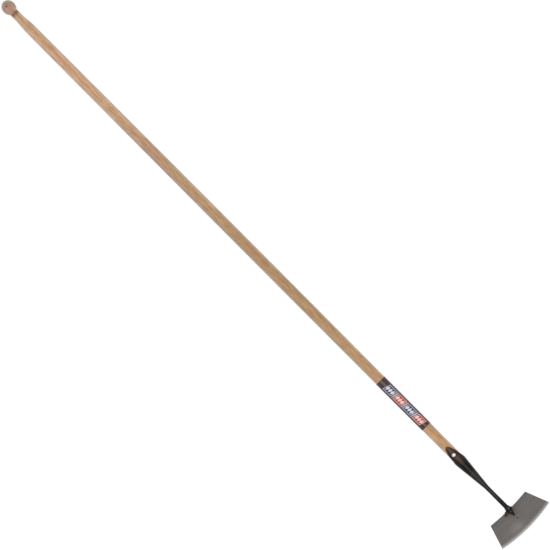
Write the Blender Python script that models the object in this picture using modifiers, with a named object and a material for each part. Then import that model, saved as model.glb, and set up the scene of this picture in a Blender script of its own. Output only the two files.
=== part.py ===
"""Dutch hoe: ash handle with a ball end, forged socket and neck, ground steel blade.

Metres, +Z up. The tool is modelled along its own axis, from the ball's pole at X = 0
to the cutting edge, with the blade's upper face upwards. An empty then lays it on the
floor as such a hoe really lies: on the ball, on the socket's rim and, because it can't
balance with its blade raised, rolled onto one back corner of the blade. The blade is
at +X, and the middle of the box round the tool is over the origin.
"""

import math

import bmesh
import bpy
from mathutils import Matrix, Vector

# Handle: one turned ash pole
BALL_LENGTH = 0.0392
BALL_DIAMETER = 0.0344
NECK_DIAMETER = 0.0214
NECK_FILLET = 0.0010
NECK_LENGTH = 0.0198
NECK_TAPER_LENGTH = 0.0330
NECK_GROOVE_SETBACK = 0.0048
NECK_GROOVE_WIDTH = 0.0022
NECK_GROOVE_DEPTH = 0.0005
HANDLE_END_DIAMETER = 0.0263
HANDLE_MIDDLE_DIAMETER = 0.0286
HANDLE_SHOWING = 1.5710

# Film label round the handle
LABEL_LENGTH = 0.1575
LABEL_TO_SOCKET = 0.1180
FILM_THICKNESS = 0.0003
FILM_CLEARANCE = 0.0002

# Socket: rolled cone with a tongue on top, which the smith has set a little to the left
SOCKET_DEPTH = 0.0790
SOCKET_WALL = 0.0019
CONE_LENGTH = 0.0895
TONGUE_LENGTH = 0.0505
TONGUE_THICKNESS = 0.0006
TONGUE_WRAP = math.radians(125)
TONGUE_TURN = math.radians(-9)
SHOULDER_FLARE = 0.0140
SHOULDER_ROUNDING = 0.0030
SEAM_MOUTH_WIDTH = 0.0032
SEAM_END_WIDTH = 0.0007
SEAM_MARGIN = 0.0040

# Neck: round stem, knuckle at the bend, pointed foot on the blade
STEM_DIAMETER = 0.0112
NECK_REACH = 0.1640
NECK_BEND_RADIUS = 0.0120
KNUCKLE_DIAMETER = 0.0158
KNUCKLE_LENGTH = 0.0190
KNUCKLE_HEIGHT = 0.0055
KNUCKLE_INSET = 0.0014
FOOT_LENGTH = 0.0251
FOOT_ROOT_DIAMETER = 0.0134
FOOT_TIP_DIAMETER = 0.0014

# Blade: flat plate, ground from above along its cutting edge
BLADE_ANGLE = math.radians(35)
BLADE_WIDTH = 0.1600
BLADE_BACK_WIDTH = 0.1183
BLADE_DEPTH = 0.0760
BLADE_THICKNESS = 0.0022
BACK_EDGE_HOLLOW = 0.0039
CUTTING_EDGE_BULGE = 0.0093
GRIND_WIDTH = 0.0078
EDGE_LAND = 0.0003
PLATE_EDGE_ROUNDING = 0.0004
PUNCH_MARK_DIAMETER = 0.0040
PUNCH_MARK_DEPTH = 0.0010
PUNCH_MARK_SETBACK = 0.0342

# Welds on the blade's back edge, from the knuckle's flank; reaches are from the middle
WELD_START = 0.0053
LEFT_WELD_REACH = 0.0140
RIGHT_WELD_REACH = 0.0108
WELD_DIAMETER = 0.0038
WELD_END_DIAMETER = 0.0008
WELD_RIPPLE = 0.00015
WELD_RIPPLE_PITCH = 0.0022

# Rivet through tongue and handle, clinched over a washer let into the back of the wood
RIVET_TO_SHOULDER = 0.0221
RIVET_DIAMETER = 0.0050
RIVET_HEAD_DIAMETER = 0.0104
RIVET_HEAD_HEIGHT = 0.0024
SHANK_SETBACK = 0.0008
RIVET_TAIL_DIAMETER = 0.0082
RIVET_TAIL_HEIGHT = 0.0013
WASHER_DIAMETER = 0.0110
WASHER_THICKNESS = 0.0010
WASHER_SEAT_DEPTH = 0.0018

# Gap between touching pieces, and how finely round shapes are faceted
CLEARANCE = 0.0003
MERGE_DISTANCE = 0.00002
TURNED_SIDES = 48
SMALL_TURNED_SIDES = 32
SWEPT_SIDES = 40
WELD_SIDES = 20
RIM_SIDES = 160
BALL_STEPS = 18
FILLET_STEPS = 4
TAPER_STEPS = 6
BARREL_STEPS = 24
FLARE_STEPS = 7
CONE_STEPS = 5
BEND_STEPS = 12
SWELL_STEPS = 7
FOOT_STEPS = 10
BACK_EDGE_STEPS = 20
CUTTING_EDGE_STEPS = 32
HEAD_STEPS = 8
TAIL_STEPS = 6
STEPS_PER_RIPPLE = 4
SMOOTH_UP_TO = math.radians(20)

# Radii that several pieces share
BALL_RADIUS = BALL_DIAMETER / 2
NECK_RADIUS = NECK_DIAMETER / 2
MOUTH_RADIUS = HANDLE_END_DIAMETER / 2 + CLEARANCE + SOCKET_WALL
STEM_RADIUS = STEM_DIAMETER / 2
KNUCKLE_RADIUS = KNUCKLE_DIAMETER / 2
CONE_SLOPE = (MOUTH_RADIUS - STEM_RADIUS) / CONE_LENGTH

# Stations along the tool, from the ball's pole
BALL_TURN = math.pi - math.asin((NECK_RADIUS + NECK_FILLET) / BALL_RADIUS)
BALL_END = BALL_LENGTH / 2 * (1 - math.cos(BALL_TURN))
NECK_START = BALL_END - NECK_FILLET * BALL_LENGTH / BALL_RADIUS * math.tan(BALL_TURN)
TAPER_START = NECK_START + NECK_LENGTH
TAPER_END = TAPER_START + NECK_TAPER_LENGTH
SHOULDER = HANDLE_SHOWING
RIM = SHOULDER + SHOULDER_ROUNDING
TONGUE_TIP = RIM - TONGUE_LENGTH
HOLLOW_START = TONGUE_TIP - 2 * SHOULDER_ROUNDING
HOLLOW_END = SHOULDER + SOCKET_DEPTH
STEM_START = SHOULDER + CONE_LENGTH
NECK_CORNER = SHOULDER + NECK_REACH
RIVET_STATION = SHOULDER - RIVET_TO_SHOULDER
LABEL_END = SHOULDER - LABEL_TO_SOCKET
LABEL_START = LABEL_END - LABEL_LENGTH

# The blade's frame: forward over the plate from its back edge, out of its upper face
FORWARD = Vector((math.cos(BLADE_ANGLE), 0, math.sin(BLADE_ANGLE)))
OUT = Vector((-math.sin(BLADE_ANGLE), 0, math.cos(BLADE_ANGLE)))
NECK_CORNER_POINT = Vector((NECK_CORNER, 0, 0))
BLADE_ORIGIN = NECK_CORNER_POINT - KNUCKLE_INSET * FORWARD - KNUCKLE_HEIGHT * OUT
EDGE_CORNER = BLADE_DEPTH - CUTTING_EDGE_BULGE

ALONG_TOOL = (0, math.pi / 2, 0)
ALONG_BLADE = (0, -BLADE_ANGLE, 0)
THROUGH_TONGUE = (-TONGUE_TURN, 0, 0)


def smoothstep(share):
    share = min(max(share, 0.0), 1.0)
    return share * share * (3 - 2 * share)


def on_blade(forward, across, out):
    """A point given in the blade's frame, in the tool's frame."""
    return BLADE_ORIGIN + forward * FORWARD + Vector((0, across, 0)) + out * OUT


def barrel_radius(station):
    """The handle swells a little towards its middle."""
    middle = (TAPER_END + SHOULDER) / 2
    share = (station - middle) / (SHOULDER - middle)
    return (HANDLE_MIDDLE_DIAMETER - (HANDLE_MIDDLE_DIAMETER - HANDLE_END_DIAMETER) * share**2) / 2


def cone_radius(station):
    """Outside of the socket's cone, below the shoulder."""
    return MOUTH_RADIUS - CONE_SLOPE * (station - SHOULDER)


def tongue_radius(station):
    """Outside of the tongue, where it lies on the handle."""
    return barrel_radius(station) + CLEARANCE + TONGUE_THICKNESS


def tongue_rim(turn):
    """Station of the socket's rim, at an angle round the tool from its top."""
    share = min(abs(turn - TONGUE_TURN) / TONGUE_WRAP, 1.0)
    return TONGUE_TIP + TONGUE_LENGTH * (1 - math.cos(math.pi * share)) / 2


# Scene, collections and the empty that lays the tool down
for old in list(bpy.data.objects):
    bpy.data.objects.remove(old, do_unlink=True)

pieces = bpy.data.collections.new("dutch_hoe")
cutters = bpy.data.collections.new("cutters")
bpy.context.scene.collection.children.link(pieces)
bpy.context.scene.collection.children.link(cutters)


def rest_angles():
    """Pitch onto ball and rim, then roll until the sole's back corner is on the floor."""
    rim_radius = cone_radius(RIM)
    pitch = math.atan2(BALL_RADIUS - rim_radius, RIM - BALL_LENGTH / 2)
    corner = on_blade(-BACK_EDGE_HOLLOW, BLADE_BACK_WIDTH / 2, -BLADE_THICKNESS)
    floor_at_corner = -rim_radius + (corner.x - RIM) * math.tan(pitch)
    reach = math.hypot(corner.y, corner.z)
    roll = math.asin(floor_at_corner / reach) - math.atan2(corner.z, corner.y)
    return pitch, roll


pitch, roll = rest_angles()
laid_down = Matrix.Rotation(pitch, 4, "Y") @ Matrix.Rotation(roll, 4, "X")
edge_middle = laid_down @ on_blade(BLADE_DEPTH, 0, -BLADE_THICKNESS)
left_corner = laid_down @ on_blade(EDGE_CORNER, -BLADE_WIDTH / 2, -BLADE_THICKNESS)
right_corner = laid_down @ on_blade(EDGE_CORNER, BLADE_WIDTH / 2, -BLADE_THICKNESS)
rim_underside = Matrix.Rotation(pitch, 4, "Y") @ Vector((RIM, 0, -cone_radius(RIM)))

rest = bpy.data.objects.new("hoe_at_rest", None)
pieces.objects.link(rest)
rest.rotation_euler = (roll, pitch, 0)
rest.location = (-edge_middle.x / 2, -(left_corner.y + right_corner.y) / 2, -rim_underside.z)


def finish_material(name, colour, roughness, metallic):
    material = bpy.data.materials.new(name)
    material.use_nodes = True
    shader = material.node_tree.nodes["Principled BSDF"]
    shader.inputs["Base Color"].default_value = (*colour, 1)
    shader.inputs["Roughness"].default_value = roughness
    shader.inputs["Metallic"].default_value = metallic
    material.diffuse_color = (*colour, 1)
    return material


def add_piece(name, mesh, material):
    piece = bpy.data.objects.new(name, mesh)
    mesh.materials.append(material)
    pieces.objects.link(piece)
    piece.parent = rest
    return piece


def add_cutter(name, mesh):
    cutter = bpy.data.objects.new(name, mesh)
    cutters.objects.link(cutter)
    cutter.parent = rest
    cutter.hide_render = True
    cutter.display_type = "WIRE"
    return cutter


def profile_mesh(name, profile, closed):
    """Profile of (height, radius) points. It runs from the top down, so it is reversed."""
    points = [(radius, 0, height) for height, radius in reversed(profile)]
    edges = [(k, k + 1) for k in range(len(points) - 1)]
    if closed:
        edges.append((len(points) - 1, 0))
    mesh = bpy.data.meshes.new(name)
    mesh.from_pydata(points, edges, [])
    return mesh


def turn_on_axis(turned, sides):
    screw = turned.modifiers.new("turned", "SCREW")
    screw.axis = "Z"
    screw.angle = 2 * math.pi
    screw.screw_offset = 0
    screw.steps = sides
    screw.render_steps = sides
    screw.use_merge_vertices = True
    screw.merge_threshold = MERGE_DISTANCE


def cut(piece, cutter):
    boolean = piece.modifiers.new(cutter.name, "BOOLEAN")
    boolean.operation = "DIFFERENCE"
    boolean.solver = "EXACT"
    boolean.object = cutter


def swept_mesh(name, path, sides):
    """A round bar along a path of (point, radius), made a closed mesh."""
    curve = bpy.data.curves.new(name, "CURVE")
    curve.dimensions = "3D"
    curve.bevel_depth = 1.0
    curve.bevel_resolution = (sides - 4) // 2
    curve.use_fill_caps = True
    spline = curve.splines.new("POLY")
    spline.points.add(len(path) - 1)
    for control, (point, radius) in zip(spline.points, path):
        control.co = (*point, 1)
        control.radius = radius
    bar = bpy.data.objects.new(name, curve)
    cutters.objects.link(bar)
    evaluated = bar.evaluated_get(bpy.context.evaluated_depsgraph_get())
    mesh = bpy.data.meshes.new_from_object(evaluated)
    bpy.data.objects.remove(bar)
    bpy.data.curves.remove(curve)
    shape = bmesh.new()
    shape.from_mesh(mesh)
    bmesh.ops.remove_doubles(shape, verts=shape.verts, dist=MERGE_DISTANCE)
    bmesh.ops.recalc_face_normals(shape, faces=shape.faces)
    shape.to_mesh(mesh)
    shape.free()
    mesh.materials.clear()
    return mesh


# Handle: ball, ringed neck, taper, barrel, and the cone that fills the socket
def handle_profile():
    profile = []
    for k in range(BALL_STEPS + 1):
        turn = BALL_TURN * k / BALL_STEPS
        profile.append((BALL_LENGTH / 2 * (1 - math.cos(turn)), BALL_RADIUS * math.sin(turn)))
    for k in range(1, FILLET_STEPS + 1):
        share = k / FILLET_STEPS
        station = BALL_END + (NECK_START - BALL_END) * share
        profile.append((station, NECK_RADIUS + NECK_FILLET * (1 - share) ** 2))
    groove = NECK_START + NECK_GROOVE_SETBACK
    profile += [
        (groove - NECK_GROOVE_WIDTH / 2, NECK_RADIUS),
        (groove, NECK_RADIUS - NECK_GROOVE_DEPTH),
        (groove + NECK_GROOVE_WIDTH / 2, NECK_RADIUS),
        (TAPER_START, NECK_RADIUS),
    ]
    for k in range(1, TAPER_STEPS):
        share = k / TAPER_STEPS
        grown = (share + smoothstep(share)) / 2
        radius = NECK_RADIUS + (HANDLE_END_DIAMETER / 2 - NECK_RADIUS) * grown
        profile.append((TAPER_START + NECK_TAPER_LENGTH * share, radius))
    for k in range(BARREL_STEPS + 1):
        station = TAPER_END + (SHOULDER - TAPER_END) * k / BARREL_STEPS
        profile.append((station, barrel_radius(station)))
    nose = HOLLOW_END - CLEARANCE
    nose_radius = cone_radius(HOLLOW_END) - SOCKET_WALL - CLEARANCE
    profile += [(nose, nose_radius), (nose, 0)]
    return profile


ash = finish_material("ash", (0.62, 0.43, 0.25), 0.55, 0.0)
handle = add_piece("handle", profile_mesh("handle", handle_profile(), False), ash)
handle.rotation_euler = ALONG_TOOL
turn_on_axis(handle, TURNED_SIDES)

# Label: a thin tube of film
film_inside = [(s, barrel_radius(s) + FILM_CLEARANCE) for s in (LABEL_START, LABEL_END)]
film_outside = [(s, radius + FILM_THICKNESS) for s, radius in film_inside]
film = finish_material("label_film", (0.03, 0.03, 0.04), 0.35, 0.0)
label_profile = film_outside + film_inside[::-1]
label_sleeve = add_piece("label_sleeve", profile_mesh("label_sleeve", label_profile, True), film)
label_sleeve.rotation_euler = ALONG_TOOL
turn_on_axis(label_sleeve, TURNED_SIDES)


# Socket and neck: one forging, swept along the tool and round the bend
def socket_path():
    """Stations and radii of tongue, flare, rounded shoulder, cone and straight stem."""
    start = TONGUE_TIP - SHOULDER_ROUNDING
    path = [(start, tongue_radius(start))]
    for k in range(FLARE_STEPS + 1):
        share = k / FLARE_STEPS
        station = SHOULDER - SHOULDER_FLARE + (SHOULDER_FLARE - SHOULDER_ROUNDING / 2) * share
        inner = tongue_radius(station)
        path.append((station, inner + (MOUTH_RADIUS - inner) * smoothstep(share)))
    path.append((SHOULDER + SHOULDER_ROUNDING / 2, cone_radius(RIM)))
    cone_end = STEM_START - 2 * SHOULDER_ROUNDING
    for k in range(CONE_STEPS + 1):
        station = RIM + (cone_end - RIM) * k / CONE_STEPS
        path.append((station, cone_radius(station)))
    path.append((STEM_START, STEM_RADIUS + CONE_SLOPE * SHOULDER_ROUNDING / 2))
    path.append((STEM_START + 2 * SHOULDER_ROUNDING, STEM_RADIUS))
    return path


def knuckle_radius(plain_radius, distance):
    """Radius near the knuckle, at a distance along the bar from the knuckle's middle."""
    swell = smoothstep(1 - abs(distance) / (KNUCKLE_LENGTH / 2))
    return plain_radius + (KNUCKLE_RADIUS - plain_radius) * swell


def neck_path(extra):
    """Points and radii of the forging's outside, grown by a margin where it is a cutter."""
    foot_tip = on_blade(FOOT_LENGTH, 0, FOOT_TIP_DIAMETER / 2 + CLEARANCE)
    foot_way = foot_tip - NECK_CORNER_POINT
    bend = math.atan2(foot_way.z, foot_way.x)
    bend_start = NECK_CORNER - NECK_BEND_RADIUS * math.tan(bend / 2)
    half_arc = NECK_BEND_RADIUS * bend / 2
    path = socket_path()
    swell_length = KNUCKLE_LENGTH / 2 - half_arc
    for k in range(SWELL_STEPS):
        before_bend = swell_length * (1 - k / SWELL_STEPS)
        path.append((bend_start - before_bend, knuckle_radius(STEM_RADIUS, before_bend + half_arc)))
    points = [(Vector((station, 0, 0)), radius) for station, radius in path]

    foot_radius = FOOT_ROOT_DIAMETER / 2
    for k in range(BEND_STEPS + 1):
        turn = bend * k / BEND_STEPS
        height = NECK_BEND_RADIUS * (1 - math.cos(turn))
        point = Vector((bend_start + NECK_BEND_RADIUS * math.sin(turn), 0, height))
        distance = NECK_BEND_RADIUS * turn - half_arc
        plain_radius = STEM_RADIUS if distance < 0 else foot_radius
        points.append((point, knuckle_radius(plain_radius, distance)))
    foot_start = points[-1][0]
    for k in range(1, FOOT_STEPS + 1):
        share = k / FOOT_STEPS
        point = foot_start.lerp(foot_tip, share)
        distance = (point - foot_start).length + half_arc
        plain_radius = foot_radius + (FOOT_TIP_DIAMETER / 2 - foot_radius) * share
        points.append((point, knuckle_radius(plain_radius, distance)))
    return [(point, radius + extra) for point, radius in points]


black_paint = finish_material("black_paint", (0.02, 0.02, 0.019), 0.42, 0.0)
socket = add_piece("socket", swept_mesh("socket", neck_path(0), SWEPT_SIDES), black_paint)

hollow_profile = [
    (HOLLOW_START, 0),
    (HOLLOW_START, barrel_radius(HOLLOW_START) + CLEARANCE),
    (SHOULDER, HANDLE_END_DIAMETER / 2 + CLEARANCE),
    (HOLLOW_END, cone_radius(HOLLOW_END) - SOCKET_WALL),
    (HOLLOW_END, 0),
]
hollow = add_cutter("socket_hollow", profile_mesh("socket_hollow", hollow_profile, False))
hollow.rotation_euler = ALONG_TOOL
turn_on_axis(hollow, TURNED_SIDES)
cut(socket, hollow)


def rim_band():
    """A band in the middle of the socket's wall, from beyond the tongue back to the rim."""
    shape = bmesh.new()
    band_radius = MOUTH_RADIUS - SOCKET_WALL / 2
    bmesh.ops.create_circle(shape, cap_ends=False, segments=RIM_SIDES, radius=band_radius)
    bmesh.ops.translate(shape, vec=(0, 0, HOLLOW_START - SHOULDER_ROUNDING), verts=shape.verts)
    drawn = bmesh.ops.extrude_edge_only(shape, edges=shape.edges[:])
    rim_verts = [v for v in drawn["geom"] if isinstance(v, bmesh.types.BMVert)]
    for vertex in rim_verts:
        vertex.co.z = tongue_rim(math.atan2(vertex.co.y, -vertex.co.x))
    mesh = bpy.data.meshes.new("socket_rim")
    shape.to_mesh(mesh)
    shape.free()
    return mesh


rim = add_cutter("socket_rim", rim_band())
rim.rotation_euler = ALONG_TOOL
rim_wall = rim.modifiers.new("wall", "SOLIDIFY")
rim_wall.thickness = 2 * SOCKET_WALL
rim_wall.offset = 0
cut(socket, rim)


def seam_wedge():
    """A slit along the underside, wide at the rim and narrow at the cone's end."""
    ends = ((SHOULDER, SEAM_MOUTH_WIDTH), (HOLLOW_END - SEAM_MARGIN, SEAM_END_WIDTH))
    shape = bmesh.new()
    corners = []
    for station, width in ends:
        for across, height in ((-1, -2), (1, -2), (1, 0), (-1, 0)):
            corners.append(shape.verts.new((station, across * width / 2, height * MOUTH_RADIUS)))
    shape.faces.new(corners[:4])
    shape.faces.new(corners[4:])
    for k in range(4):
        following = (k + 1) % 4
        shape.faces.new((corners[k], corners[following], corners[following + 4], corners[k + 4]))
    bmesh.ops.recalc_face_normals(shape, faces=shape.faces)
    mesh = bpy.data.meshes.new("socket_seam")
    shape.to_mesh(mesh)
    shape.free()
    return mesh


cut(socket, add_cutter("socket_seam", seam_wedge()))


# Blade: an outline with two arcs, raised to a plate and ground back along its edge
def arc_points(half_width, ends_at, bulge, steps):
    """Points across the blade on a shallow arc that bulges forward over the plate."""
    radius = (half_width**2 + bulge**2) / (2 * bulge)
    points = []
    for k in range(steps + 1):
        across = -half_width + 2 * half_width * k / steps
        points.append((ends_at + math.sqrt(radius**2 - across**2) - (radius - bulge), across))
    return points


def plate_shape(back_margin, height):
    """A mesh holding the plate's outline as one face, at a height over its upper face."""
    back_ends = -BACK_EDGE_HOLLOW - back_margin
    back = arc_points(BLADE_BACK_WIDTH / 2, back_ends, BACK_EDGE_HOLLOW, BACK_EDGE_STEPS)
    edge = arc_points(BLADE_WIDTH / 2, EDGE_CORNER, CUTTING_EDGE_BULGE, CUTTING_EDGE_STEPS)
    shape = bmesh.new()
    shape.faces.new([shape.verts.new((x, y, height)) for x, y in back + edge[::-1]])
    return shape


def raise_face(shape, face, rise):
    """Extrude a face straight up, and return the new face and its corners."""
    raised = bmesh.ops.extrude_face_region(shape, geom=[face])["geom"]
    verts = [v for v in raised if isinstance(v, bmesh.types.BMVert)]
    bmesh.ops.translate(shape, vec=(0, 0, rise), verts=verts)
    top = [f for f in raised if isinstance(f, bmesh.types.BMFace)][0]
    return top, verts


def blade_mesh():
    shape = plate_shape(0, -BLADE_THICKNESS)
    sole = shape.faces[:][0]
    land, _ = raise_face(shape, sole, EDGE_LAND)
    _, top_verts = raise_face(shape, land, BLADE_THICKNESS - EDGE_LAND)
    bmesh.ops.delete(shape, geom=[land], context="FACES_ONLY")
    side_slope = (BLADE_WIDTH - BLADE_BACK_WIDTH) / 2 / (EDGE_CORNER + BACK_EDGE_HOLLOW)
    for vertex in top_verts:
        if vertex.co.x > EDGE_CORNER - MERGE_DISTANCE:
            share = vertex.co.y / (BLADE_WIDTH / 2)
            vertex.co.x -= GRIND_WIDTH
            vertex.co.y -= GRIND_WIDTH * side_slope * share
    bmesh.ops.recalc_face_normals(shape, faces=shape.faces)
    rounded = []
    for rim_edge in shape.edges:
        upper = all(abs(v.co.z) < MERGE_DISTANCE for v in rim_edge.verts)
        ground = all(v.co.x > EDGE_CORNER - GRIND_WIDTH - MERGE_DISTANCE for v in rim_edge.verts)
        if upper and not ground:
            rounded.append(rim_edge)
    bmesh.ops.bevel(
        shape,
        geom=rounded,
        offset=PLATE_EDGE_ROUNDING,
        offset_type="OFFSET",
        segments=2,
        profile=0.5,
        affect="EDGES",
        clamp_overlap=True,
    )
    mesh = bpy.data.meshes.new("blade")
    shape.to_mesh(mesh)
    shape.free()
    return mesh


blade_steel = finish_material("blade_steel", (0.17, 0.16, 0.155), 0.38, 0.9)
blade = add_piece("blade", blade_mesh(), blade_steel)
blade.location = BLADE_ORIGIN
blade.rotation_euler = ALONG_BLADE

punch_profile = [
    (-PUNCH_MARK_DEPTH, 0),
    (0, PUNCH_MARK_DIAMETER / 2),
    (PUNCH_MARK_DEPTH, PUNCH_MARK_DIAMETER),
    (PUNCH_MARK_DEPTH, 0),
]
punch = add_cutter("punch_mark", profile_mesh("punch_mark", punch_profile, False))
punch.location = on_blade(PUNCH_MARK_SETBACK, 0, 0)
punch.rotation_euler = ALONG_BLADE
turn_on_axis(punch, SMALL_TURNED_SIDES)
cut(blade, punch)


# Room for the plate, cut out of the foot that lies on it and of the welds round its edge
def plate_room_mesh():
    shape = plate_shape(CLEARANCE, -BLADE_THICKNESS - KNUCKLE_DIAMETER)
    raise_face(shape, shape.faces[:][0], BLADE_THICKNESS + KNUCKLE_DIAMETER + CLEARANCE)
    bmesh.ops.recalc_face_normals(shape, faces=shape.faces)
    mesh = bpy.data.meshes.new("plate_room")
    shape.to_mesh(mesh)
    shape.free()
    return mesh


plate_room = add_cutter("plate_room", plate_room_mesh())
plate_room.location = BLADE_ORIGIN
plate_room.rotation_euler = ALONG_BLADE
cut(socket, plate_room)

neck_room = add_cutter("neck_room", swept_mesh("neck_room", neck_path(CLEARANCE), SWEPT_SIDES))


# Welds: rippled beads on the back edge's corner, from the knuckle's flank outwards
def weld_path(side, reach):
    back_radius = ((BLADE_BACK_WIDTH / 2) ** 2 + BACK_EDGE_HOLLOW**2) / (2 * BACK_EDGE_HOLLOW)
    ripples = math.ceil((reach - WELD_START) / WELD_RIPPLE_PITCH)
    steps = STEPS_PER_RIPPLE * ripples
    rise = WELD_DIAMETER / 2 + WELD_RIPPLE - BLADE_THICKNESS
    path = []
    for k in range(steps + 1):
        share = k / steps
        across = WELD_START + (reach - WELD_START) * share
        forward = math.sqrt(back_radius**2 - across**2) - back_radius
        fullness = math.sqrt(math.cos(math.pi / 2 * share**2))
        ripple = WELD_RIPPLE * math.cos(2 * math.pi * ripples * share)
        diameter = WELD_END_DIAMETER + (WELD_DIAMETER - WELD_END_DIAMETER) * fullness
        path.append((on_blade(forward, side * across, rise), diameter / 2 + ripple * fullness))
    return path


weld_metal = finish_material("weld_metal", (0.10, 0.095, 0.09), 0.6, 0.8)
for weld_name, side, reach in (("left_weld", -1, LEFT_WELD_REACH), ("right_weld", 1, RIGHT_WELD_REACH)):
    weld = add_piece(weld_name, swept_mesh(weld_name, weld_path(side, reach), WELD_SIDES), weld_metal)
    cut(weld, neck_room)
    cut(weld, plate_room)


# Rivet: a domed head bedded on the tongue, a shank, and a tail clinched on the washer
def dome_profile(base, top, radius, steps):
    """Quarter of an ellipse from a disc's rim to the middle of its dome."""
    angles = [math.pi / 2 * k / steps for k in range(steps + 1)]
    return [(base + (top - base) * math.sin(a), radius * math.cos(a)) for a in angles]


def tube_profile(low, high, inner, outer):
    return [(low, inner), (low, outer), (high, outer), (high, inner)]


shank_radius = RIVET_DIAMETER / 2
hole_radius = shank_radius + CLEARANCE
head_radius = RIVET_HEAD_DIAMETER / 2
bed_radius = tongue_radius(RIVET_STATION) + CLEARANCE
head_base = math.sqrt(bed_radius**2 - head_radius**2)
head_top = bed_radius + RIVET_HEAD_HEIGHT
shank_top = head_top - SHANK_SETBACK
seat_face = WASHER_SEAT_DEPTH - barrel_radius(RIVET_STATION)
washer_top = seat_face - CLEARANCE
washer_face = washer_top - WASHER_THICKNESS
tail_face = washer_face - CLEARANCE

zinc = finish_material("zinc_plate", (0.80, 0.79, 0.77), 0.25, 0.9)
head_profile = [(head_base - CLEARANCE, 0), (head_base - CLEARANCE, head_radius)]
head_profile += dome_profile(head_base, head_top, head_radius, HEAD_STEPS)
rivet = add_piece("rivet", profile_mesh("rivet", head_profile, False), zinc)
rivet.location = (RIVET_STATION, 0, 0)
rivet.rotation_euler = THROUGH_TONGUE
turn_on_axis(rivet, SMALL_TURNED_SIDES)


def add_round_cutter(name, low, high, radius, sides):
    """A cylinder on the rivet's axis, or along the tool if it is turned afterwards."""
    cutter = add_cutter(name, profile_mesh(name, tube_profile(low, high, 0, radius), False))
    cutter.location = (RIVET_STATION, 0, 0)
    cutter.rotation_euler = THROUGH_TONGUE
    turn_on_axis(cutter, sides)
    return cutter


head_bed = add_round_cutter("head_bed", -RIVET_HEAD_DIAMETER, RIVET_HEAD_DIAMETER, bed_radius, 2 * TURNED_SIDES)
head_bed.rotation_euler = ALONG_TOOL
cut(rivet, head_bed)

tail_profile = dome_profile(tail_face, tail_face - RIVET_TAIL_HEIGHT, RIVET_TAIL_DIAMETER / 2, TAIL_STEPS)
shank_profile = tail_profile[::-1] + [(tail_face, shank_radius), (shank_top, shank_radius), (shank_top, 0)]
shank = add_cutter("rivet_shank", profile_mesh("rivet_shank", shank_profile, False))
shank.location = (RIVET_STATION, 0, 0)
shank.rotation_euler = THROUGH_TONGUE
turn_on_axis(shank, SMALL_TURNED_SIDES)
joined = rivet.modifiers.new("rivet_shank", "BOOLEAN")
joined.operation = "UNION"
joined.solver = "EXACT"
joined.object = shank

hole = add_round_cutter("rivet_hole", -BALL_DIAMETER, BALL_DIAMETER, hole_radius, SMALL_TURNED_SIDES)
cut(handle, hole)
cut(socket, hole)
seat_radius = WASHER_DIAMETER / 2 + CLEARANCE
cut(handle, add_round_cutter("washer_seat", -BALL_DIAMETER, seat_face, seat_radius, SMALL_TURNED_SIDES))

washer_profile = tube_profile(washer_face, washer_top, hole_radius, WASHER_DIAMETER / 2)
rivet_washer = add_piece("rivet_washer", profile_mesh("rivet_washer", washer_profile, True), zinc)
rivet_washer.location = (RIVET_STATION, 0, 0)
rivet_washer.rotation_euler = THROUGH_TONGUE
turn_on_axis(rivet_washer, SMALL_TURNED_SIDES)


# Each piece's modifiers become its mesh, and its round faces are shaded smooth
def settle(piece):
    evaluated = piece.evaluated_get(bpy.context.evaluated_depsgraph_get())
    mesh = bpy.data.meshes.new_from_object(evaluated)
    piece.modifiers.clear()
    piece.data = mesh
    mesh.name = piece.name
    mesh.shade_smooth()
    mesh.set_sharp_from_angle(angle=SMOOTH_UP_TO)


bpy.context.view_layer.update()
for piece in [o for o in pieces.objects if o.type == "MESH"]:
    settle(piece)
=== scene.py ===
"""Dutch hoe: ash handle with a ball end, forged black socket and neck, ground steel blade."""

import math

import bpy
from mathutils import Matrix, Vector

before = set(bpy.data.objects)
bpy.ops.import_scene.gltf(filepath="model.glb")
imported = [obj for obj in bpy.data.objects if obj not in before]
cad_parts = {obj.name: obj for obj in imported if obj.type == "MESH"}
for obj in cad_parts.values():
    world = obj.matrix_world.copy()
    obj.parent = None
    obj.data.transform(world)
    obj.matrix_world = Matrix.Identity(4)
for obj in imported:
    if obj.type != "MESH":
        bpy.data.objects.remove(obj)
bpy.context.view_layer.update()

# Ash handle
# One long ash blank, turned on a lathe to a ball end, a waisted neck and a pole that
# swells a little in its middle. It is sanded and has one thin coat of satin lacquer. A dark
# reddish ring is painted round the neck, just behind the ball. The wood's colour also holds
# painted light: painted shade along the middle of the pole, a lighter, greyer painted sheen
# on its flanks, and a brown stain with painted shade along the rim of the socket's tongue.
BALL_POLE = Vector((-0.900287, -0.002891, 0.017228))
LIE = (math.radians(-5.3261), math.radians(0.0802), 0)
TOOL_LENGTH = 1.80
POLE_ROUNDNESS = 0.0030

RING_SPACING = 0.0031
RING_CENTRE = (0.034, 0.048)
RING_DRIFT = 0.016
RING_WAVER = 0.0035
RING_WAVES = (1.7, 9, 9)
EARLY_WOOD = [(0.0, 0.85), (0.10, 1.0), (0.42, 0.25), (0.97, 0.0), (1.0, 0.85)]
RING_CONTRAST = 0.24
STREAK_WAVES = (2.4, 75, 75)
STREAK_CONTRAST = 0.46
FIBRE_WAVES = (30, 1300, 1300)
FIBRE_CONTRAST = 0.42
FLECK_WAVES = (42, 230, 230)
FLECK_CONTRAST = 1.20
EVEN_DARKNESS = 0.10
PORE_WAVES = (75, 2400, 2400)
PORES_OPEN = (0.56, 0.70)
PORE_DARKNESS = 0.55
PORE_DEPTH = 0.8
GRAIN_RELIEF = (0.35, 0.0002)

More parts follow.
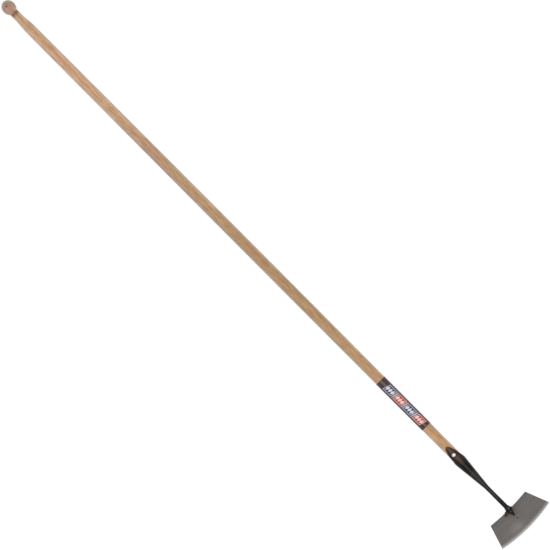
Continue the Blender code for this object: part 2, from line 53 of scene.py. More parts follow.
ASH_PALE = (0.655, 0.385, 0.205)
ASH_MIDDLE = (0.555, 0.310, 0.152)
ASH_DARK = (0.375, 0.190, 0.085)
ASH_COLOURS = [(0.30, ASH_PALE), (0.56, ASH_MIDDLE), (0.98, ASH_DARK)]
ASH_BLUSH = (1.03, 0.96, 1.02)
BLUSH_WAVES = (6.5, 24, 24)
BLUSH_FADES = (0.42, 0.60)
# Tones along the handle from the ball: the wood's own tone, with painted shade that darkens the
# pole along its middle where the light falls off.
LENGTH_TONES_AND_SHADE = [
    (0.00, (0.95, 1.01, 1.07)),
    (0.20, (0.94, 1.03, 1.07)),
    (0.28, (0.71, 0.75, 0.77)),
    (0.39, (0.74, 0.76, 0.72)),
    (0.45, (0.68, 0.68, 0.59)),
    (0.60, (0.68, 0.68, 0.57)),
    (0.68, (0.74, 0.74, 0.65)),
    (0.83, (0.83, 0.81, 0.71)),
]
# Painted sheen: the pole is painted lighter and greyer towards its flanks than along its top,
# standing in for the light and reflection on its sides.
FACE_HALF_WIDTH = 0.0137
PAINTED_SIDE_SHEEN = [
    (0.00, (0.965, 0.925, 0.840)),
    (0.22, (0.995, 0.980, 0.935)),
    (0.50, (1.045, 1.115, 1.235)),
    (0.72, (1.020, 1.095, 1.270)),
    (1.00, (0.950, 1.000, 1.100)),
]

BALL_DULLED = (0.725, 0.70, 0.82)
BALL_DULLED_TO = (0.034, 0.040)
# A dark reddish ring painted round the neck behind the ball, over its groove.
NECK_RING_TONE = (0.42, 0.235, 0.215)
NECK_RING_FROM = 0.0335
NECK_RING_LENGTH = 0.0170
NECK_RING_ALONG = [(0.0, 0.0), (0.28, 1.0), (0.50, 1.0), (0.66, 0.45), (1.0, 0.0)]
NECK_RING_WAVES = (60, 110, 110)
NECK_RING_PATCHES = (0.45, 1.35)

# Each knot: its place, the radius of its core and how dark it is.
KNOTS = (
    ((0.0140, -0.0032, 0.0160), 0.0014, 1.0),
    ((0.0130, -0.0092, 0.0132), 0.0010, 0.6),
)
KNOT_FADES = (1.8, 0.8)
KNOT_DARK = (0.075, 0.010, 0.005)

TONGUE_TIP = 1.5235
TONGUE_LENGTH = 0.0505
TONGUE_WRAP = math.radians(125)
TONGUE_TURN = math.radians(-9)
# A brown stain laid with painted shade, darkening the wood towards the rim of the socket's
# tongue.
STAIN_AND_SHADE = (0.42, 0.27, 0.18)
STAIN_AND_SHADE_WIDTH = 0.0045
STAIN_AND_SHADE_WAVES = (180, 300, 300)
STAIN_AND_SHADE_RAGGED = 0.0020

LACQUER_SPECULAR = 0.40
LACQUER_ROUGHNESS = (0.42, 0.62)
LACQUER_HAZE = 0.75
HAZE_SPREAD = 0.51
HAZE_TINT = (0.66, 0.86, 0.92)


def new_finish(name):
    """A new material, with its node tree and its shader."""
    finish = bpy.data.materials.new(name)
    finish.use_nodes = True
    return finish, finish.node_tree, finish.node_tree.nodes["Principled BSDF"]


def add_node(tree, kind, inputs, **settings):
    """A node with its settings and inputs. An input is a value, or a socket to link."""
    node = tree.nodes.new("ShaderNode" + kind)
    for setting, value in settings.items():
        setattr(node, setting, value)
    for key, value in inputs.items():
        if isinstance(value, bpy.types.NodeSocket):
            tree.links.new(value, node.inputs[key])
        else:
            node.inputs[key].default_value = value
    return node


def reckon(tree, operation, *values):
    """One sum on numbers, such as ADD or MULTIPLY."""
    return add_node(tree, "Math", dict(enumerate(values)), operation=operation).outputs[0]


def product(tree, first, *others):
    """Numbers multiplied together, such as shares that each leave a part of the rest."""
    for other in others:
        first = reckon(tree, "MULTIPLY", first, other)
    return first


def between(tree, share, low, high):
    """Evenly from low where the share is 0 to high where it is 1, and on past them."""
    return reckon(tree, "MULTIPLY_ADD", share, high - low, low)


def rise(tree, value, start, end):
    """Smoothly from 0 where the value is at the start to 1 where it is at the end."""
    inputs = {"Value": value, "From Min": start, "From Max": end}
    return add_node(tree, "MapRange", inputs, interpolation_type="SMOOTHSTEP").outputs[0]


def band(tree, value, low, high, soft):
    """1 between low and high, with soft borders outside them."""
    up = rise(tree, value, low - soft, low)
    down = rise(tree, value, high + soft, high)
    return product(tree, up, down)


def blend(tree, share, first, second, way="MIX"):
    """Two colours laid over each other."""
    inputs = {0: share}
    for key, colour in ((6, first), (7, second)):
        inputs[key] = (*colour, 1) if isinstance(colour, tuple) else colour
    mix = add_node(tree, "Mix", inputs, data_type="RGBA", blend_type=way)
    return mix.outputs[2]


def toned(tree, colour, tone):
    """A colour multiplied by a tone."""
    return blend(tree, 1.0, colour, tone, "MULTIPLY")


def tinted(tree, share, colour, tone):
    """A colour that takes on a tone as far as the share says."""
    return blend(tree, share, colour, toned(tree, colour, tone))


def ramp(tree, value, stops):
    """Grey or colour stops along a value from 0 to 1."""
    node = add_node(tree, "ValToRGB", {"Fac": value})
    elements = node.color_ramp.elements
    while len(elements) < len(stops):
        elements.new(0.5)
    for element, (position, colour) in zip(elements, stops):
        element.position = position
        if not isinstance(colour, tuple):
            colour = (colour, colour, colour)
        element.color = (*colour, 1)
    return node.outputs["Color"]


def stretched(tree, place, scale):
    """Coordinates stretched along each axis, for grain and scratches."""
    return add_node(tree, "VectorMath", {0: place, 1: scale}, operation="MULTIPLY").outputs[0]


def cloud(tree, place, waves, detail=2.0):
    """Noise from 0 to 1, with its own number of waves to the metre along each axis."""
    inputs = {"Vector": stretched(tree, place, waves), "Scale": 1.0, "Detail": detail}
    return add_node(tree, "TexNoise", inputs).outputs["Fac"]


def measured_from(tree, origin=BALL_POLE, lie=LIE):
    """Coordinates from a point, all three together and then each: along, across and up."""
    coordinates = add_node(tree, "TexCoord", {}).outputs["Object"]
    inputs = {"Vector": coordinates, "Location": origin, "Rotation": lie}
    place = add_node(tree, "Mapping", inputs, vector_type="TEXTURE").outputs[0]
    parts = add_node(tree, "SeparateXYZ", {0: place}).outputs
    return place, parts[0], parts[1], parts[2]


def distance_to(tree, place, point):
    """How far a place lies from a point."""
    inputs = {0: place, 1: point}
    return add_node(tree, "VectorMath", inputs, operation="DISTANCE").outputs["Value"]


def before_the_tongue(tree, along, across, up):
    """How far a point on the handle lies before the rim of the socket's tongue."""
    turn = reckon(tree, "SUBTRACT", reckon(tree, "ARCTAN2", across, up), TONGUE_TURN)
    turn = reckon(tree, "ABSOLUTE", turn)
    share = reckon(tree, "MINIMUM", reckon(tree, "DIVIDE", turn, TONGUE_WRAP), 1.0)
    wave = reckon(tree, "COSINE", product(tree, share, math.pi))
    half_length = TONGUE_LENGTH / 2
    rim = reckon(tree, "MULTIPLY_ADD", wave, -half_length, TONGUE_TIP + half_length)
    return reckon(tree, "SUBTRACT", rim, along)


def add_bump(tree, height, relief, roundness=0.0):
    """Relief of a strength and a depth, on faces that shade as round as the real ones."""
    strength, depth = relief
    inputs = {"Height": height, "Strength": strength, "Distance": depth}
    if roundness:
        inputs["Normal"] = add_node(tree, "Bevel", {"Radius": roundness}, samples=8).outputs[0]
    return add_node(tree, "Bump", inputs).outputs[0]


def connect(tree, shader, colour, roughness, bump):
    """Give a shader its colour, its roughness and its relief."""
    tree.links.new(colour, shader.inputs["Base Color"])
    tree.links.new(roughness, shader.inputs["Roughness"])
    tree.links.new(bump, shader.inputs["Normal"])


def dress(name, finish):
    """Give a CAD node its finish."""
    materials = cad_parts[name].data.materials
    materials.clear()
    materials.append(finish)


ash, tree, shader = new_finish("turned_ash")
place, along, across, up = measured_from(tree)

waver = between(tree, cloud(tree, place, RING_WAVES, 1.0), -RING_WAVER, RING_WAVER)
drift = reckon(tree, "MULTIPLY_ADD", along, RING_DRIFT, RING_CENTRE[0])
ring_across = reckon(tree, "ADD", reckon(tree, "ADD", across, drift), waver)
ring_up = reckon(tree, "ADD", up, RING_CENTRE[1])
up_squared = product(tree, ring_up, ring_up)
from_pith = reckon(
    tree, "SQRT", reckon(tree, "MULTIPLY_ADD", ring_across, ring_across, up_squared)
)
ring = reckon(tree, "FRACT", reckon(tree, "DIVIDE", from_pith, RING_SPACING))
early_wood = ramp(tree, ring, EARLY_WOOD)

fibres = cloud(tree, place, FIBRE_WAVES, 3.0)
streaks = cloud(tree, place, STREAK_WAVES, 4.0)
flecks = cloud(tree, place, FLECK_WAVES)
pores = rise(tree, cloud(tree, place, PORE_WAVES, 1.0), *PORES_OPEN)
pores = product(tree, pores, early_wood)
darkness = reckon(tree, "MULTIPLY_ADD", streaks, STREAK_CONTRAST, EVEN_DARKNESS)
darkness = reckon(tree, "MULTIPLY_ADD", fibres, FIBRE_CONTRAST, darkness)
darkness = reckon(tree, "MULTIPLY_ADD", early_wood, RING_CONTRAST, darkness)
darkness = reckon(tree, "SUBTRACT", darkness, FLECK_CONTRAST / 2)
darkness = reckon(tree, "MULTIPLY_ADD", flecks, FLECK_CONTRAST, darkness)
wood = ramp(tree, darkness, ASH_COLOURS)
blush = rise(tree, cloud(tree, place, BLUSH_WAVES, 1.0), *BLUSH_FADES)
wood = tinted(tree, blush, wood, ASH_BLUSH)
wood = blend(tree, product(tree, pores, PORE_DARKNESS), wood, ASH_DARK)

length_share = reckon(tree, "DIVIDE", along, TOOL_LENGTH)
# Painted shade along the middle of the pole, with the wood's tone along its length.
wood = toned(tree, wood, ramp(tree, length_share, LENGTH_TONES_AND_SHADE))
# Painted sheen: lighter, greyer flanks and a darker, warmer top.
off_face_for_sheen = reckon(tree, "DIVIDE", reckon(tree, "ABSOLUTE", across), FACE_HALF_WIDTH)
wood = toned(tree, wood, ramp(tree, off_face_for_sheen, PAINTED_SIDE_SHEEN))
dulled = reckon(tree, "SUBTRACT", 1.0, rise(tree, along, *BALL_DULLED_TO))
wood = tinted(tree, dulled, wood, BALL_DULLED)

# The dark reddish ring round the neck, patchy along its length.
past_start = reckon(tree, "SUBTRACT", along, NECK_RING_FROM)
neck_ring = ramp(tree, reckon(tree, "DIVIDE", past_start, NECK_RING_LENGTH), NECK_RING_ALONG)
patchy = between(tree, cloud(tree, place, NECK_RING_WAVES), *NECK_RING_PATCHES)
neck_ring = reckon(tree, "MINIMUM", product(tree, neck_ring, patchy), 1.0)
wood = tinted(tree, neck_ring, wood, NECK_RING_TONE)

for knot, core, depth in KNOTS:
    fade_from, fade_to = (core * share for share in KNOT_FADES)
    dark = rise(tree, distance_to(tree, place, knot), fade_from, fade_to)
    wood = blend(tree, product(tree, dark, depth), wood, KNOT_DARK)

# Stain and painted shade where the wood meets the tongue's rim.
gap = before_the_tongue(tree, along, across, up)
ragged = between(tree, cloud(tree, place, STAIN_AND_SHADE_WAVES), -STAIN_AND_SHADE_RAGGED, STAIN_AND_SHADE_RAGGED)
stain_and_shade = rise(tree, reckon(tree, "ADD", gap, ragged), STAIN_AND_SHADE_WIDTH, 0.0)
wood = tinted(tree, stain_and_shade, wood, STAIN_AND_SHADE)

grain_height = reckon(tree, "SUBTRACT", fibres, product(tree, pores, PORE_DEPTH))
bump = add_bump(tree, grain_height, GRAIN_RELIEF, POLE_ROUNDNESS)
connect(tree, shader, wood, between(tree, fibres, *LACQUER_ROUGHNESS), bump)
shader.inputs["Specular IOR Level"].default_value = LACQUER_SPECULAR
shader.inputs["Sheen Weight"].default_value = LACQUER_HAZE
shader.inputs["Sheen Roughness"].default_value = HAZE_SPREAD
shader.inputs["Sheen Tint"].default_value = (*HAZE_TINT, 1)
dress("handle", ash)

# Film label
# A printed plastic film, shrunk round the pole above the socket, glossy, with its lap
# at the back. Its print is a plain design of its own: four short areas on black, by turns
# blue and red, with a row of pale diamonds on each and a silver stripe between each two.
FACES_UP = (math.radians(-2.1), LIE[1], 0)
LABEL_RADIUS = 0.0142
PRINT_START = 1.3157
AREAS = 4
AREA_LENGTH = 0.0271
AREA_HALF_WIDTH = 0.0112
AREA_SLANT = -0.30
STRIPE_ROOM = 0.0060
STRIPE_WIDTH = 0.0021
OUTLINE_INSET = 0.0009
OUTLINE_WIDTH = 0.0010
DIAMONDS_IN_AREA = 3
DIAMOND_MARGIN = 0.0024
DIAMOND_HALF_WIDTH = 0.0078
DIAMOND_BORDER = (0.98, 0.90)
PRINT_SOFTNESS = 0.0003
FILM_BLACK = (0.041, 0.027, 0.024)
PRINT_BLUE = (0.040, 0.040, 0.080)
PRINT_PALE_BLUE = (0.57, 0.56, 0.66)
PRINT_RED = (0.40, 0.045, 0.040)
PRINT_PALE_RED = (0.74, 0.50, 0.47)
AREA_COLOURS = ((PRINT_BLUE, PRINT_PALE_BLUE), (PRINT_RED, PRINT_PALE_RED))
PRINT_SILVER = (0.52, 0.49, 0.49)
WRINKLE_WAVES = (38, 130, 130)
LAP = (math.radians(176), math.radians(184))
LAP_SOFTNESS = 0.02
LAP_HEIGHT = 0.6
FILM_RELIEF = (0.25, 0.0006)
FILM_SPECULAR = 0.42
FILM_ROUGHNESS = (0.20, 0.32)

label_film, tree, shader = new_finish("printed_film")
place, along, across, up = measured_from(tree, lie=FACES_UP)
turn = reckon(tree, "ARCTAN2", across, up)
round_it = product(tree, turn, LABEL_RADIUS)
off_middle = reckon(tree, "ABSOLUTE", round_it)
to_side = reckon(tree, "SUBTRACT", AREA_HALF_WIDTH, off_middle)
slanted = reckon(tree, "MULTIPLY_ADD", round_it, AREA_SLANT, along)

print_colour = FILM_BLACK
pitch = (AREA_LENGTH - 2 * DIAMOND_MARGIN) / DIAMONDS_IN_AREA
for k in range(AREAS):
    start = PRINT_START + k * (AREA_LENGTH + STRIPE_ROOM)
    end = start + AREA_LENGTH
    ground, pale = AREA_COLOURS[k % 2]
    from_start = reckon(tree, "SUBTRACT", slanted, start)
    to_ends = reckon(tree, "MINIMUM", from_start, reckon(tree, "SUBTRACT", end, slanted))
    to_rim = reckon(tree, "MINIMUM", to_ends, to_side)
    outline = band(tree, to_rim, OUTLINE_INSET, OUTLINE_INSET + OUTLINE_WIDTH, PRINT_SOFTNESS)
    spaced = reckon(tree, "DIVIDE", reckon(tree, "SUBTRACT", from_start, DIAMOND_MARGIN), pitch)
    off_centre = reckon(tree, "MULTIPLY_ADD", reckon(tree, "PINGPONG", spaced, 0.5), -2.0, 1.0)
    beside = reckon(tree, "DIVIDE", off_middle, DIAMOND_HALF_WIDTH)
    in_diamond = rise(tree, reckon(tree, "ADD", off_centre, beside), *DIAMOND_BORDER)
    in_diamond = product(tree, in_diamond, rise(tree, to_ends, 0.0, DIAMOND_MARGIN))
    area_colour = blend(tree, reckon(tree, "MAXIMUM", in_diamond, outline), ground, pale)
    in_area = rise(tree, to_rim, 0.0, PRINT_SOFTNESS)
    print_colour = blend(tree, in_area, print_colour, area_colour)
for k in range(1, AREAS):
    middle = PRINT_START + k * (AREA_LENGTH + STRIPE_ROOM) - STRIPE_ROOM / 2
    stripe_start, stripe_end = middle - STRIPE_WIDTH / 2, middle + STRIPE_WIDTH / 2
    in_stripe = band(tree, slanted, stripe_start, stripe_end, PRINT_SOFTNESS)
    in_stripe = product(tree, in_stripe, rise(tree, to_side, 0.0, PRINT_SOFTNESS))
    print_colour = blend(tree, in_stripe, print_colour, PRINT_SILVER)

wrinkles = cloud(tree, place, WRINKLE_WAVES)
lap = band(tree, reckon(tree, "ABSOLUTE", turn), *LAP, LAP_SOFTNESS)
film_height = reckon(tree, "MULTIPLY_ADD", lap, LAP_HEIGHT, wrinkles)
bump = add_bump(tree, film_height, FILM_RELIEF, POLE_ROUNDNESS)
connect(tree, shader, print_colour, between(tree, wrinkles, *FILM_ROUGHNESS), bump)
shader.inputs["Specular IOR Level"].default_value = FILM_SPECULAR
dress("label_sleeve", label_film)

# Socket, neck and foot
# One steel forging: a flat blank rolled into an open cone with a leaf-shaped tongue,
# drawn out below into a round stem, a knuckle and a pointed foot. It is dipped in black
# paint, thick and dull at the knuckle. The paint's colour also holds painted light: a
# brownish tinge with a painted sheen over the tongue's top, a painted highlight along the
# neck, paler painted highlights on the crowns of the knuckle and the foot, and a painted
# shadow round the rivet head.
RIVET_STATION = 1.5489
RIVET_HEAD_RADIUS = 0.0052
# A painted shadow: the paint is laid near-black in a ring round the rivet head.
RIVET_SHADE_WIDTH = 0.0026
RIVET_SHADE = 0.75

NECK_FROM = 1.571
NECK_LENGTH = 0.164
# Paint tones along the neck from the socket's mouth: darker towards both ends, and painted
# lighter along the middle of the cone and stem as a painted highlight where the light from
# above runs along them.
PAINT_TONES_AND_HIGHLIGHT = [
    (0.09, (0.0040, 0.0032, 0.0028)),
    (0.20, (0.0060, 0.0050, 0.0044)),
    (0.26, (0.0200, 0.0178, 0.0158)),
    (0.47, (0.0210, 0.0186, 0.0164)),
    (0.55, (0.0150, 0.0130, 0.0116)),
    (0.77, (0.0140, 0.0122, 0.0108)),
    (0.83, (0.0040, 0.0032, 0.0028)),
]
# Brownish paint over the tongue with a painted sheen: it is laid only on the tongue's top,
# where the light falls, and fades round the sides.
PAINT_BROWN_AND_SHEEN = (0.068, 0.034, 0.023)
BROWN_AND_SHEEN_TO = (1.588, 1.562)
BROWN_AND_SHEEN_ROUND_TO = (0.95, 0.15)
BROWN_AND_SHEEN_PATCHES = (0.25, 1.35)
# Near-black of the thick paint at the knuckle, also used for the painted shadow round the
# rivet.
PAINT_THICK_AND_SHADOW = (0.0030, 0.0024, 0.0020)
THICK_FROM = (1.696, 1.714)
FORGED_WAVES = (110, 190, 190)
PIT_WAVES = (900, 1200, 1200)
PIT_DEPTH = 0.25
PAINT_MOTTLE = (0.72, 1.27)

# Each painted highlight, a paler patch on the crown of the knuckle and of the foot: where it
# is, how far it reaches and how strong it is.
PAINTED_HIGHLIGHTS = (
    ((1.7341, 0.0008, 0.0), 0.0034, 1.0),
    ((1.7433, -0.0008, 0.0), 0.0027, 0.55),
)
PAINTED_HIGHLIGHT_BORDER = (1.6, 2.1, 0.7)
PAINTED_HIGHLIGHT_ABOVE = 0.002
PAINTED_HIGHLIGHT_IN_PITS = (0.20, 1.10)
PAINTED_HIGHLIGHT_GREY = (0.150, 0.134, 0.120)

PAINT_RELIEF = (0.30, 0.0007)
PAINT_ROUNDNESS = 0.0022
PAINT_SPECULAR = 0.18
PAINT_ROUGHNESS = (0.13, 0.39)
FORGED_ROUGHNESS = 0.20


def off_rivet_axis(tree, along, across, up):
    """Distance from the rivet's axis, which goes through the tongue's middle."""
    before = reckon(tree, "SUBTRACT", along, RIVET_STATION)
    level = product(tree, across, math.cos(TONGUE_TURN))
    beside = reckon(tree, "MULTIPLY_ADD", up, -math.sin(TONGUE_TURN), level)
    beside_squared = product(tree, beside, beside)
    return reckon(tree, "SQRT", reckon(tree, "MULTIPLY_ADD", before, before, beside_squared))


def ragged_spot(tree, place, centre, reach, noise, border):
    """1 at a centre and 0 outside it, with a soft border that the noise frays."""
    fray, outer, inner = border
    away = reckon(tree, "MULTIPLY_ADD", noise, reach * fray, distance_to(tree, place, centre))
    return rise(tree, away, reach * outer, reach * inner)


black_paint, tree, shader = new_finish("dipped_black_paint")
place, along, across, up = measured_from(tree)
forged = cloud(tree, place, FORGED_WAVES, 3.0)
scale_pits = cloud(tree, place, PIT_WAVES)
# Brown tinge and painted sheen on the top of the tongue.
off_top = reckon(tree, "ARCTAN2", reckon(tree, "ABSOLUTE", across), up)
brown_and_sheen = product(tree, rise(tree, along, *BROWN_AND_SHEEN_TO), rise(tree, off_top, *BROWN_AND_SHEEN_ROUND_TO))
brown_and_sheen = product(tree, brown_and_sheen, between(tree, forged, *BROWN_AND_SHEEN_PATCHES))
# Painted highlight along the middle of the neck.
neck_share = reckon(tree, "DIVIDE", reckon(tree, "SUBTRACT", along, NECK_FROM), NECK_LENGTH)
paint = blend(tree, brown_and_sheen, ramp(tree, neck_share, PAINT_TONES_AND_HIGHLIGHT), PAINT_BROWN_AND_SHEEN)
thick = rise(tree, along, *THICK_FROM)
paint = blend(tree, thick, paint, PAINT_THICK_AND_SHADOW)
from_rivet = off_rivet_axis(tree, along, across, up)
# Painted shadow round the rivet head.
shade_to = RIVET_HEAD_RADIUS + RIVET_SHADE_WIDTH
painted_rivet_shadow = product(tree, rise(tree, from_rivet, shade_to, RIVET_HEAD_RADIUS), RIVET_SHADE)
paint = blend(tree, painted_rivet_shadow, paint, PAINT_THICK_AND_SHADOW)
from_above = stretched(tree, place, (1, 1, 0))
# Painted highlights, laid only on faces that look up.
for highlight_centre, reach, depth in PAINTED_HIGHLIGHTS:
    painted_highlight = ragged_spot(tree, from_above, highlight_centre, reach, forged, PAINTED_HIGHLIGHT_BORDER)
    painted_highlight = product(tree, painted_highlight, rise(tree, up, 0.0, PAINTED_HIGHLIGHT_ABOVE))
    painted_highlight = product(tree, painted_highlight, between(tree, scale_pits, *PAINTED_HIGHLIGHT_IN_PITS), depth)
    paint = blend(tree, painted_highlight, paint, PAINTED_HIGHLIGHT_GREY)
mottle = between(tree, forged, *PAINT_MOTTLE)
mottle_grey = add_node(tree, "CombineColor", {0: mottle, 1: mottle, 2: mottle}).outputs[0]
paint = toned(tree, paint, mottle_grey)
paint_height = reckon(tree, "MULTIPLY_ADD", scale_pits, PIT_DEPTH, forged)
bump = add_bump(tree, paint_height, PAINT_RELIEF, PAINT_ROUNDNESS)
sheen_lost = between(tree, thick, *PAINT_ROUGHNESS)
roughness = reckon(tree, "MULTIPLY_ADD", forged, FORGED_ROUGHNESS, sheen_lost)
connect(tree, shader, paint, roughness, bump)
shader.inputs["Specular IOR Level"].default_value = PAINT_SPECULAR
dress("socket", black_paint)

# Blade
# Rolled steel plate, sheared to shape, ground from above along its cutting edge, and
# left bare under a thin clear lacquer. Its upper face carries the foot and one punch
# mark, and the welding has tinted the steel round the knuckle. A paler patch near the
# middle of the cutting edge is a painted highlight, and a dark ragged spot is painted by
# the left end of the weld.
BLADE_ANGLE = math.radians(35)
BLADE_ORIGIN = Vector((1.737008, 0, -0.005308))
BLADE_THICKNESS = 0.0022
BACK_CORNER_HALF_WIDTH = 0.05915
BACK_HOLLOW = 0.0039
EDGE_HALF_WIDTH = 0.0800
EDGE_CORNER = 0.0667
EDGE_ARC_RADIUS = 0.34873
EDGE_ARC_CENTRE = -0.27273
SIDE_SLOPE = 0.2953
GRIND_WIDTH = 0.0078
GRIND_SOFTNESS = 0.0002
SOLE_FADES = (0.00004, 0.00012)
UPPER_FACE_FADES = (0.9, 0.6)

ROLLED_WAVES = (260, 28, 28)
ROLLED_SHARE = 0.45
PATCH_WAVES = (26, 26, 26)
PATCH_SHARE = 0.55
SCRATCH_WAVES = (1900, 70, 70)
SPECKLE_WAVES = (420, 420, 420)
GRINDING_WAVES = (90, 2600, 90)
STEEL = (0.233, 0.215, 0.206)
STEEL_DARK = (0.190, 0.175, 0.168)
ROLLED_COLOURS = [(0.32, STEEL_DARK), (0.62, STEEL)]
RIM_FADES = (0.0026, 0.0006)
STEEL_AT_BACK = (0.86, 0.89, 0.91)
BACK_FADES = (0.022, 0.004)
WELD_MIDDLE = (0.004, 0.0, 0.0)
HEAT_TINT = (0.96, 0.92, 0.85)
HEAT_FADES = (0.030, 0.010)
# A painted highlight: the steel is painted paler in a broad patch near the middle of the
# cutting edge, on the upper face.
BLADE_HIGHLIGHT_PLACE = (0.0540, -0.0190, 0.0)
BLADE_HIGHLIGHT_REACH = 0.0300
BLADE_HIGHLIGHT_GRAIN = (0.20, 0.50)
BLADE_HIGHLIGHT_TONE = (1.26, 1.28, 1.29)
# A dark ragged spot on the upper face by the left end of the weld.
DARK_SPOT_PLACE = (0.0060, -0.0135, 0.0)
DARK_SPOT_REACH = 0.0064
DARK_SPOT_BORDER = (0.8, 1.9, 0.8)
DARK_SPOT_SPECKLES = (0.45, 1.35)
DARK_SPOT_STEEL = (0.048, 0.041, 0.037)
PUNCH_MARK = (0.0342, 0.0, 0.0)
PUNCH_FADES = (0.0026, 0.0018)
PUNCH_DARK = (0.048, 0.043, 0.041)
STEEL_GROUND = (0.345, 0.335, 0.322)
GROUND_COLOURS = [(0.25, STEEL), (0.50, STEEL_GROUND)]
GROUND_INNER_TONE = (0.46, 0.46, 0.46)
PLATE_RELIEF = (0.20, 0.0001)
PLATE_ROUGHNESS = (0.30, 0.50)

blade_steel, tree, shader = new_finish("rolled_and_ground_steel")
tilt = Matrix.Rotation(LIE[1], 4, "Y") @ Matrix.Rotation(LIE[0], 4, "X")
slope = Matrix.Translation(BLADE_ORIGIN) @ Matrix.Rotation(-BLADE_ANGLE, 4, "Y")
plate = Matrix.Translation(BALL_POLE) @ tilt @ slope
place, forward, sideways, out = measured_from(tree, plate.translation, plate.to_euler())
off_middle = reckon(tree, "ABSOLUTE", sideways)
minus_off_middle = product(tree, off_middle, -1.0)
squared = reckon(tree, "MULTIPLY_ADD", off_middle, minus_off_middle, EDGE_ARC_RADIUS**2)
edge_here = reckon(tree, "ADD", reckon(tree, "SQRT", squared), EDGE_ARC_CENTRE)
to_edge = reckon(tree, "SUBTRACT", edge_here, forward)
side_at_start = EDGE_HALF_WIDTH - SIDE_SLOPE * EDGE_CORNER
side_here = reckon(tree, "MULTIPLY_ADD", forward, SIDE_SLOPE, side_at_start)
to_side = reckon(tree, "SUBTRACT", side_here, off_middle)
hollow = BACK_HOLLOW / BACK_CORNER_HALF_WIDTH**2
middle_squared = product(tree, off_middle, off_middle)
to_back = reckon(tree, "MULTIPLY_ADD", middle_squared, hollow, forward)
to_rim = reckon(tree, "MINIMUM", to_side, to_back)
above_sole = rise(tree, out, *(height - BLADE_THICKNESS for height in SOLE_FADES))
on_upper_face = rise(tree, out, *(-BLADE_THICKNESS * share for share in UPPER_FACE_FADES))

rolled = cloud(tree, place, ROLLED_WAVES, 4.0)
patches = cloud(tree, place, PATCH_WAVES, 3.0)
scratches = cloud(tree, place, SCRATCH_WAVES)
speckles = cloud(tree, place, SPECKLE_WAVES, 3.0)
grinding = cloud(tree, place, GRINDING_WAVES)
patch_share = product(tree, patches, PATCH_SHARE)
steel_share = reckon(tree, "MULTIPLY_ADD", rolled, ROLLED_SHARE, patch_share)
steel = ramp(tree, steel_share, ROLLED_COLOURS)
steel = blend(tree, rise(tree, to_rim, *RIM_FADES), steel, STEEL_DARK)
steel = tinted(tree, rise(tree, to_back, *BACK_FADES), steel, STEEL_AT_BACK)
from_weld = distance_to(tree, place, WELD_MIDDLE)
steel = tinted(tree, rise(tree, from_weld, *HEAT_FADES), steel, HEAT_TINT)
# Painted highlight near the middle of the cutting edge.
painted_highlight = rise(tree, distance_to(tree, place, BLADE_HIGHLIGHT_PLACE), BLADE_HIGHLIGHT_REACH, 0.0)
painted_highlight = product(tree, painted_highlight, rise(tree, rolled, *BLADE_HIGHLIGHT_GRAIN), on_upper_face)
steel = tinted(tree, painted_highlight, steel, BLADE_HIGHLIGHT_TONE)
# The dark ragged spot by the left end of the weld.
dark_spot = ragged_spot(tree, place, DARK_SPOT_PLACE, DARK_SPOT_REACH, patches, DARK_SPOT_BORDER)
dark_spot = product(tree, dark_spot, between(tree, speckles, *DARK_SPOT_SPECKLES), on_upper_face)
steel = blend(tree, dark_spot, steel, DARK_SPOT_STEEL)
punched = rise(tree, distance_to(tree, place, PUNCH_MARK), *PUNCH_FADES)
steel = blend(tree, product(tree, punched, on_upper_face), steel, PUNCH_DARK)

ground_steel = ramp(tree, grinding, GROUND_COLOURS)
inner_share = rise(tree, to_edge, 0.0, GRIND_WIDTH)
ground_steel = tinted(tree, inner_share, ground_steel, GROUND_INNER_TONE)
ground = rise(tree, to_edge, GRIND_WIDTH + GRIND_SOFTNESS, GRIND_WIDTH)
ground = product(tree, ground, above_sole)
steel = blend(tree, ground, steel, ground_steel)
bump = add_bump(tree, blend(tree, ground, scratches, grinding), PLATE_RELIEF)
connect(tree, shader, steel, between(tree, rolled, *PLATE_ROUGHNESS), bump)
shader.inputs["Metallic"].default_value = 1.0
dress("blade", blade_steel)

# Weld runs
# Two short runs of weld metal along the blade's back edge, one on each side of the
# knuckle, with the ripples left in them and only brushed clean of slag.
WELD_DARK = (0.009, 0.0075, 0.007)
WELD_TINT = (0.042, 0.036, 0.032)
WELD_COLOURS = [(0.35, WELD_DARK), (0.68, WELD_TINT)]
SPATTER_WAVES = (420, 420, 420)
WELD_RELIEF = (0.4, 0.0003)
WELD_ROUGHNESS = (0.35, 0.65)
WELD_METALLIC = 0.85

weld_metal, tree, shader = new_finish("brushed_weld_metal")
spatter = cloud(tree, measured_from(tree)[0], SPATTER_WAVES, 3.0)
weld_colour = ramp(tree, spatter, WELD_COLOURS)
bump = add_bump(tree, spatter, WELD_RELIEF)
connect(tree, shader, weld_colour, between(tree, spatter, *WELD_ROUGHNESS), bump)
shader.inputs["Metallic"].default_value = WELD_METALLIC
dress("left_weld", weld_metal)
dress("right_weld", weld_metal)

# Rivet and washer
# A zinc plated steel rivet with a domed head on the tongue, driven through the wood and
# clinched over a washer that is let into the back of the pole.
ZINC = (0.72, 0.70, 0.675)
ZINC_DULL = (0.54, 0.53, 0.52)
ZINC_COLOURS = [(0.30, ZINC_DULL), (0.50, ZINC)]
HANDLED_WAVES = (700, 700, 700)
HEAD_MIDDLE_FADES = (0.0008, 0.0003)
HEAD_MIDDLE_DULLNESS = 0.5
ZINC_RELIEF = (0.15, 0.0002)
ZINC_ROUGHNESS = (0.20, 0.35)

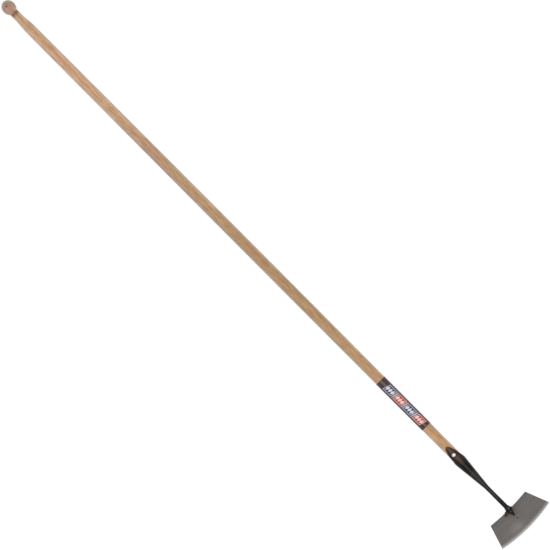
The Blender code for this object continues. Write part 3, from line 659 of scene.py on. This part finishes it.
zinc, tree, shader = new_finish("zinc_plate")
place, along, across, up = measured_from(tree)
handled = cloud(tree, place, HANDLED_WAVES, 3.0)
zinc_colour = ramp(tree, handled, ZINC_COLOURS)
from_middle = off_rivet_axis(tree, along, across, up)
dull = product(tree, rise(tree, from_middle, *HEAD_MIDDLE_FADES), HEAD_MIDDLE_DULLNESS)
zinc_colour = blend(tree, dull, zinc_colour, ZINC_DULL)
bump = add_bump(tree, handled, ZINC_RELIEF)
connect(tree, shader, zinc_colour, between(tree, handled, *ZINC_ROUGHNESS), bump)
shader.inputs["Metallic"].default_value = 1.0
dress("rivet", zinc)
dress("rivet_washer", zinc)

# Floor, light and camera
# A white table, one large soft light above it and an even pale surround that is white at
# the horizon. The camera looks straight down from far away with a long lens, and the tool
# lies on the picture's diagonal.
WHITE = (1, 1, 1, 1)
FLOOR_SIZE = 600.0
FLOOR_WHITE = (0.22, 0.22, 0.22)
FLOOR_ROUGHNESS = 0.8
FLOOR_GLOW = 0.83
SURROUND = 0.62
HORIZON = 1.0
HORIZON_FADES = (0.14, 0.04)
SOFTBOX_PLACE = (0.3, 0, 2.5)
SOFTBOX_SIZE = (2.6, 2.1)
SOFTBOX_POWER = 43.0
CAMERA_DISTANCE = 24.0
MILLIMETRES_PER_PIXEL = 2.4264
PICTURE_SIDE = 550
SENSOR_WIDTH = 36.0
CAMERA_LEAN = math.radians(-2.1)
CAMERA_TURN = math.radians(45.12)
LOOKS_AT = Vector((0.03365, -0.0039, 0.0))

bpy.ops.object.select_all(action="DESELECT")
bpy.ops.mesh.primitive_plane_add(size=FLOOR_SIZE, location=(0, 0, 0))
floor = bpy.context.object
floor.name = "floor"
white_table, tree, shader = new_finish("white_table")
shader.inputs["Base Color"].default_value = (*FLOOR_WHITE, 1)
shader.inputs["Roughness"].default_value = FLOOR_ROUGHNESS
shader.inputs["Emission Color"].default_value = WHITE
shader.inputs["Emission Strength"].default_value = FLOOR_GLOW
floor.data.materials.append(white_table)

world = bpy.data.worlds.new("white_surround")
world.use_nodes = True
tree = world.node_tree
background = tree.nodes["Background"]
direction = add_node(tree, "TexCoord", {}).outputs["Generated"]
above = add_node(tree, "SeparateXYZ", {0: direction}).outputs[2]
near_horizon = rise(tree, above, *HORIZON_FADES)
strength = between(tree, near_horizon, SURROUND, HORIZON)
background.inputs["Color"].default_value = WHITE
tree.links.new(strength, background.inputs["Strength"])
bpy.context.scene.world = world

softbox_light = bpy.data.lights.new("softbox", "AREA")
softbox_light.shape = "RECTANGLE"
softbox_light.size, softbox_light.size_y = SOFTBOX_SIZE
softbox_light.energy = SOFTBOX_POWER
softbox = bpy.data.objects.new("softbox", softbox_light)
softbox.location = SOFTBOX_PLACE
softbox.visible_camera = False
bpy.context.scene.collection.objects.link(softbox)

camera_data = bpy.data.cameras.new("camera")
camera_data.sensor_width = SENSOR_WIDTH
picture_width = MILLIMETRES_PER_PIXEL * PICTURE_SIDE / 1000
camera_data.lens = SENSOR_WIDTH * CAMERA_DISTANCE / picture_width
camera_data.clip_end = 2 * CAMERA_DISTANCE
camera = bpy.data.objects.new("camera", camera_data)
stance = Matrix.Rotation(CAMERA_LEAN, 4, "X") @ Matrix.Rotation(CAMERA_TURN, 4, "Z")
raised = Matrix.Translation((0, 0, CAMERA_DISTANCE))
camera.matrix_world = Matrix.Translation(LOOKS_AT) @ stance @ raised
bpy.context.scene.collection.objects.link(camera)
bpy.context.scene.camera = camera
bpy.context.scene.view_settings.view_transform = "Standard"
